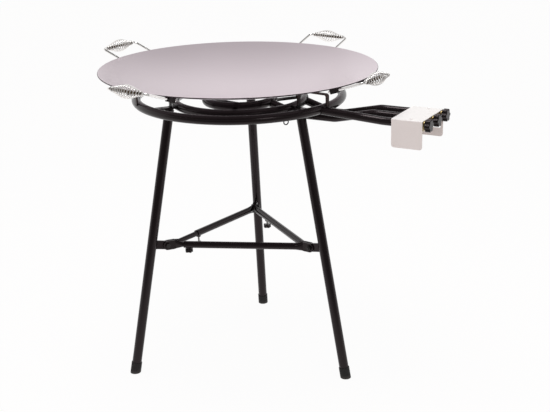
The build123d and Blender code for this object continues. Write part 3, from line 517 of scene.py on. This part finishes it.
drill_turn = ring.node(
    "FunctionNodeEulerToRotation",
    values={"Euler": vector(y=lean, z=round_ring)},
)
drills = ring.node(
    "GeometryNodeInstanceOnPoints",
    values={"Points": ports, "Instance": drill, "Rotation": drill_turn},
)
drills = ring.node("GeometryNodeRealizeInstances", values={"Geometry": drills})
drilled = ring.node(
    "GeometryNodeMeshBoolean",
    {"operation": "DIFFERENCE", "solver": "MANIFOLD"},
    {"Mesh 1": bent, "Mesh 2": drills},
)
ring.end(drilled, black_paint)
for name, (radius, height, port_count) in rings.items():
    ring.make(
        f"ported_{name}_ring",
        "stand",
        "black_paint",
        f"{name}_ring",
        Radius=radius,
        Height=height,
        Ports=port_count,
    )

# Spokes, ties and pan supports, flat bars that join the rings and carry the griddle above them.
# The bent supports stand in the flames, so their paint is baked to a reddish brown.
flame_foot, flame_reach = 0.785, 0.05


def baked_black(place):
    _, _, height = parts_of(place)
    heat = ((height - flame_foot) / flame_reach).math("MAXIMUM", 0.0).math("MINIMUM", 1.0)
    burnt = (heat * (0.35 + cloud(place, scale=60, detail=4.0))).math("MINIMUM", 1.0)
    return {
        "Base Color": burnt.between((0.008, 0.007, 0.0075), (0.062, 0.027, 0.021)),
        "Roughness": 0.3 + burnt * 0.22,
        "Normal": relief(cloud(place, scale=320), depth=0.00006),
    }


baked_paint = finish("baked_paint", baked_black, Specular_IOR_Level=0.25)
dress(black_paint, "ring_ties", *numbered("ring_spoke", leg_count))
dress(baked_paint, *numbered("pan_support", leg_count))

# Feed pipes, one bent tube from each tap to its ring, and the wire eye under the outer ring.
# All are welded on and painted with the stand.
dress(black_paint, *[f"{name}_feed_pipe" for name in rings], "ring_eye")

# Weld beads of the stand, short rippled runs where bars and pipes meet the rings and lugs the legs.
# Each bead is a row of overlapping drops laid along its seam and painted over.
leg_azimuths = [-8.5, 111.5, 231.5]
least_swell, most_swell = 0.85, 1.15
drop_squeeze = 0.75

bead = Shape("weld_bead", Step=0.0017, Size=0.0016)
seams = bead.node("GeometryNodeMeshToCurve", values={"Mesh": bead["Geometry"]})
drops = bead.node(
    "GeometryNodeResampleCurve",
    {"mode": "LENGTH"},
    {"Curve": seams, "Length": bead["Step"]},
)
seam_line = bead.node("GeometryNodeInputTangent")
along = bead.node("FunctionNodeAlignRotationToVector", {"axis": "X"}, {"Vector": seam_line})
drop = bead.node(
    "GeometryNodeMeshUVSphere",
    values={"Segments": 7, "Rings": 5, "Radius": bead["Size"]},
)
swell = bead.node(
    "FunctionNodeRandomValue",
    {"data_type": "FLOAT"},
    {2: least_swell, 3: most_swell, "Seed": 4},
    1,
)
drop_size = vector(swell * drop_squeeze, swell, swell)
laid = bead.node(
    "GeometryNodeInstanceOnPoints",
    values={"Points": drops, "Instance": drop, "Rotation": along, "Scale": drop_size},
)
bead.end(laid, black_paint)


def up(height):
    return Vector((0, 0, height))


def outward(azimuth):
    return Vector((math.cos(math.radians(azimuth)), math.sin(math.radians(azimuth)), 0))


def sideways(azimuth):
    return outward(azimuth + 90)


def seam_mesh(name, runs):
    """Edges of all seams, from lists of points."""
    points, edges = [], []
    for run in runs:
        edges += [(len(points) + k, len(points) + k + 1) for k in range(len(run) - 1)]
        points += run
    mesh = bpy.data.meshes.new(name)
    mesh.from_pydata(points, edges, [])
    return mesh


def ring_seam(name, side, azimuth, height, half_width):
    """Seam across a bar on a ring's flank, the outer one at side 1 or the inner one at side -1."""
    radius, middle, _ = rings[name]
    from_axis = radius + side * math.sqrt((ring_tube / 2) ** 2 - (height - middle) ** 2)
    half_steps = 4
    run = []
    for k in range(-half_steps, half_steps + 1):
        across = half_width * k / half_steps
        reach = math.sqrt(from_axis**2 - across**2)
        run.append(outward(azimuth) * reach + sideways(azimuth) * across + up(height))
    return run


def foot_seam(azimuth, from_axis, height, half_width):
    """Straight seam across the foot of a bar."""
    middle = outward(azimuth) * from_axis + up(height)
    return [middle - sideways(azimuth) * half_width, middle + sideways(azimuth) * half_width]


spoke_top, spoke_bottom, spoke_half = 0.7822, 0.7768, 0.0095
tie_turn, tie_top, tie_half = 60, 0.7695, 0.0085
mitre_sink = 0.0005
support_half = 0.0056
on_spoke = ((0.2047, spoke_top), (0.2093, spoke_top))
on_outer_ring = ((0.3003, 0.8015), (0.3034, 0.7976))
stand_seams = []
for azimuth in leg_azimuths:
    for height in (spoke_top, spoke_bottom):
        stand_seams.append(ring_seam("middle", 1, azimuth, height, spoke_half))
    stand_seams.append(ring_seam("outer", -1, azimuth, spoke_top, spoke_half))
    for name in ("inner", "middle"):
        for side in (-1, 1):
            stand_seams.append(ring_seam(name, side, azimuth + tie_turn, tie_top, tie_half))
    star_middle = up(tie_top - mitre_sink)
    stand_seams.append([star_middle, star_middle + outward(azimuth) * tie_half])
    for from_axis, height in on_spoke + on_outer_ring:
        stand_seams.append(foot_seam(azimuth, from_axis, height, support_half))

feed_sides = {"outer": -0.063, "inner": 0.0, "middle": 0.063}
feed_falls = {"outer": 3.56, "inner": 17.0, "middle": 17.0}
feed_drops = {"outer": 0.0015, "inner": 0.0, "middle": 0.0}
pipe_radius = 0.011
pipe_search, seam_step, seam_clear = 0.03, 0.0002, 0.0004
loop_steps = 36
for name, side in feed_sides.items():
    radius, ring_height, _ = rings[name]
    start = Vector((math.sqrt(radius**2 - side**2), side, ring_height - feed_drops[name]))
    fall = math.radians(feed_falls[name])
    run_out = Vector((math.cos(fall), 0, -math.sin(fall)))
    square = Vector((math.sin(fall), 0, math.cos(fall)))
    loop = []
    for k in range(loop_steps + 1):
        turn = math.tau * k / loop_steps
        edge_way = square * math.cos(turn) + Vector((0, 1, 0)) * math.sin(turn)
        edge = start + edge_way * pipe_radius
        reach = pipe_search
        while reach > 0:
            point = edge + run_out * reach
            across = math.hypot(point.x, point.y) - radius
            if math.hypot(across, point.z - ring_height) < ring_tube / 2 + seam_clear:
                break
            reach -= seam_step
        loop.append(point)
    stand_seams.append(loop)

leg_lean = math.radians(10.7)
leg_radius = 0.0135
foot_radius = 0.357016
brace_height, bolt_reach = 0.378, 0.047
lug_half_thick, lug_half_tall = 0.0031, 0.0118
lug_meets = brace_height + (bolt_reach * math.cos(leg_lean) - leg_radius) * math.sin(leg_lean)
for azimuth in leg_azimuths:
    for side in (-lug_half_thick, lug_half_thick):
        run = []
        for height in (lug_meets - lug_half_tall, lug_meets + lug_half_tall):
            middle = foot_radius - height * math.tan(leg_lean)
            from_axis = middle - math.sqrt(leg_radius**2 - side**2) / math.cos(leg_lean)
            run.append(outward(azimuth) * from_axis + sideways(azimuth) * side + up(height))
        stand_seams.append(run)
bead.make("stand_welds", "stand", "black_paint", start=seam_mesh("stand_seams", stand_seams))


# Gas taps with their injectors, the manifold rail and the hose inlet, turned from brass bar.
# Fine tool rings run round each piece, and the brass is dulled and darker in patches.
def turned_brass(axis):
    grooves = [40, 40, 40]
    grooves["XYZ".index(axis)] = 2600

    def surface(place):
        tool_rings = cloud(place, scale=1.0, detail=2.0, stretch=tuple(grooves))
        stain = cloud(place, scale=70, detail=4.0)
        return {
            "Base Color": stain.between((0.2, 0.148, 0.066), (0.38, 0.295, 0.145)),
            "Roughness": 0.2 + stain * 0.2,
            "Normal": relief(tool_rings, depth=0.00006),
        }

    return surface


brass_along_taps = finish("brass_taps", turned_brass("X"), Metallic=1.0)
brass_along_rail = finish("brass_rail", turned_brass("Y"), Metallic=1.0)
dress(brass_along_taps, "tap_bodies", "injectors")
dress(brass_along_rail, "manifold_rail", "gas_inlet")

# Tap spindles of plated steel, and the fluted knobs pressed on them.
# The knobs are the same gloss black moulding as the lock knobs.
tap_count = 3
dress(plated_steel, *numbered("tap_spindle", tap_count))
dress(black_plastic, *numbered("tap_knob", tap_count))


# Heat shield, a steel sheet folded down on both sides of the taps and powder coated white.
# Its two screws are painted over with it.
def powder_coat(place):
    grain = cloud(place, scale=520, detail=2.0)
    tone = cloud(place, scale=18)
    return {
        "Base Color": tone.between((0.87, 0.845, 0.83), (0.91, 0.89, 0.88)),
        "Roughness": 0.34 + grain * 0.12,
        "Normal": relief(grain, depth=0.00005),
    }


white_enamel = finish("white_enamel", powder_coat, Specular_IOR_Level=0.4)
dress(white_enamel, "heat_shield", "shield_screws")

# Griddle pan, a disc of rolled steel sheet pressed to a shallow dish, whose sheared edge is
# coloured nearly black as painted shade.
# Satin grey with a mauve cast, with painted shade that darkens it towards one side.
# It has faint rolling streaks, cloudy patches and scratches.
pan_radius, pan_depth, pan_sheet = 0.394, 0.055, 0.003
painted_shade_way, painted_shade_start, painted_shade_full = (-0.86, -0.5), 0.02, 0.38
rim_shade_start, rim_shade_full = pan_radius - 0.0014, pan_radius - 0.0006


def from_axis_of(place):
    """Level distance from the burner's axis."""
    level = place.node(
        "ShaderNodeVectorMath",
        {"operation": "MULTIPLY"},
        {0: place, 1: (1, 1, 0)},
    )
    return level.node("ShaderNodeVectorMath", {"operation": "LENGTH"}, {0: level}, "Value")


def rolled_steel(place):
    streaks = cloud(place, scale=1.0, detail=4.0, stretch=(14, 420, 14))
    patches = cloud(place, scale=3.2, detail=4.0)
    rubbed = cloud(place, scale=1.0, detail=2.0, stretch=(900, 60, 60))
    tone = patches * 0.55 + streaks * 0.45
    bright = tone.between((0.705, 0.612, 0.655), (0.805, 0.706, 0.75))
    shaded_tone = tone.between((0.577, 0.497, 0.534), (0.657, 0.572, 0.61))
    # Painted shade: the sheet is coloured darker towards one side.
    sheet = fade(level_along(place, painted_shade_way), painted_shade_start, painted_shade_full).between(bright, shaded_tone)
    # Painted shade: the rim's cut edge is coloured nearly black.
    edge = fade(from_axis_of(place), rim_shade_start, rim_shade_full)
    return {
        "Base Color": edge.between(sheet, (0.05, 0.032, 0.038)),
        "Roughness": 0.27 + patches * 0.08 + rubbed * 0.05 + edge * 0.2,
        "Normal": relief(streaks * 0.6 + rubbed * 0.4, depth=0.00002),
    }


griddle_steel = finish("griddle_steel", rolled_steel, Metallic=1.0)
dress(griddle_steel, "griddle_pan")

# Handle rods of polished steel, held under the griddle's rim in brackets painted with the stand.
# Inside the spring grips the rods are coloured a dark brown, which is painted shade.
handle_count = 4
handle_azimuth = 82.0
grip_reach, grip_span = 0.457, 0.111
grip_shade_start, grip_shade_full = grip_reach - 0.012, grip_reach - 0.008
grip_shade_fades, grip_shade_ends = grip_span / 2 - 0.004, grip_span / 2 + 0.001


def polish(place):
    tone = cloud(place, scale=120)
    return {
        "Base Color": tone.between((0.87, 0.845, 0.825), (0.97, 0.95, 0.935)),
        "Roughness": 0.04 + tone * 0.08,
        "Normal": relief(cloud(place, scale=700, detail=2.0), depth=0.00002),
    }


def shaded_in_grips(place):
    look = polish(place)
    facing = place.node(
        "ShaderNodeVectorRotate",
        {"rotation_type": "Z_AXIS"},
        {"Vector": place, "Angle": -math.radians(handle_azimuth)},
    )
    along, across, _ = (part.math("ABSOLUTE") for part in parts_of(facing))
    reach, side = along.math("MAXIMUM", across), along.math("MINIMUM", across)
    outer = fade(reach, grip_shade_start, grip_shade_full)
    inside = fade(side, grip_shade_fades, grip_shade_ends, 1.0, 0.0) * outer
    grip_shade_mottle = cloud(place, scale=260, detail=4.0)
    # Painted shade: the rod inside each spring grip is coloured dark brown.
    grip_shade_tone = grip_shade_mottle.between((0.055, 0.032, 0.018), (0.14, 0.09, 0.05))
    look["Base Color"] = inside.between(look["Base Color"], grip_shade_tone)
    look["Roughness"] = look["Roughness"] + inside * 0.3
    return look


handle_steel = finish("handle_steel", shaded_in_grips, Metallic=1.0)
dress(handle_steel, *numbered("handle_rod", handle_count))
dress(black_paint, "handle_brackets")

# Spring grips, a coil of bright wire wound over each handle, slim at its ends and wide between.
# The open turns keep the grip cool above the flames.
grip_height, grip_tilt = 0.89137, math.radians(19.0)
polished_steel = finish("polished_steel", polish, Metallic=1.0)
grip = Shape(
    "spring_grip",
    Turns=14.0,
    Wire=0.003,
    Waist=0.0369,
    EndRadius=0.0053,
    Span=grip_span,
    Steps=505,
    Handles=handle_count,
    FirstHandle=math.radians(handle_azimuth),
    Reach=grip_reach,
    Height=grip_height,
    Tilt=grip_tilt,
)
wire_line = grip.node("GeometryNodeCurvePrimitiveLine")
wire_line = grip.node(
    "GeometryNodeResampleCurve",
    {"mode": "COUNT"},
    {"Curve": wire_line, "Count": grip["Steps"]},
)
share = grip.node("GeometryNodeSplineParameter", out="Factor")
turn = share * grip["Turns"] * math.tau
swelling = grip["Waist"] / 2 - grip["Wire"] / 2 - grip["EndRadius"]
bell = (share * math.pi).math("SINE")
wide = grip["EndRadius"] + swelling * bell * bell
spot = vector(
    wide * turn.math("COSINE"),
    grip["Span"] * (share - 0.5),
    wide * turn.math("SINE"),
)
wire_line = grip.node("GeometryNodeSetPosition", values={"Geometry": wire_line, "Position": spot})
wire = grip.node(
    "GeometryNodeCurvePrimitiveCircle",
    values={"Resolution": 12, "Radius": grip["Wire"] / 2},
)
coil = grip.node(
    "GeometryNodeCurveToMesh",
    values={"Curve": wire_line, "Profile Curve": wire, "Fill Caps": True},
)
tilted = grip.node("FunctionNodeEulerToRotation", values={"Euler": vector(y=0 - grip["Tilt"])})
set_out = vector(grip["Reach"], 0.0, grip["Height"])
coil = grip.node(
    "GeometryNodeTransform",
    values={"Geometry": coil, "Translation": set_out, "Rotation": tilted},
)
places = grip.node("GeometryNodePoints", values={"Count": grip["Handles"]})
share_of_turn = grip.node("GeometryNodeInputIndex") / grip["Handles"]
handle_turn = grip["FirstHandle"] + share_of_turn * math.tau
facing = grip.node("FunctionNodeEulerToRotation", values={"Euler": vector(z=handle_turn)})
coils = grip.node(
    "GeometryNodeInstanceOnPoints",
    values={"Points": places, "Instance": coil, "Rotation": facing},
)
grip.end(coils, polished_steel)
grip.make("spring_grips", "griddle", "polished_steel", *numbered("handle_coil", handle_count))

# Weld beads along both sides of the brackets under the griddle.
# They follow the dish's underside, and each bracket is set by its place beside and behind its grip.
dish_under = (pan_radius**2 + pan_depth**2) / (2 * pan_depth) + pan_sheet
dish_centre = up(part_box("griddle_pan")[0].z + dish_under)
bracket_sides = (-0.0752, -0.0608, 0.0608, 0.0752)
bracket_reaches = (-0.103, -0.092, -0.081)
dish_search = 0.02
bracket_seams = []
for k in range(handle_count):
    azimuth = handle_azimuth + 90 * k
    slope = outward(azimuth) * math.cos(grip_tilt) + up(math.sin(grip_tilt))
    normal = slope.cross(sideways(azimuth))
    middle = outward(azimuth) * grip_reach + up(grip_height)
    for side in bracket_sides:
        run = []
        for reach in bracket_reaches:
            point = middle + slope * reach + sideways(azimuth) * side
            lift = dish_search
            while (point + normal * lift - dish_centre).length < dish_under + seam_clear:
                lift -= seam_step
            run.append(point + normal * lift)
        bracket_seams.append(run)
bracket_start = seam_mesh("bracket_seams", bracket_seams)
bead.make("bracket_welds", "griddle", "black_paint", start=bracket_start)
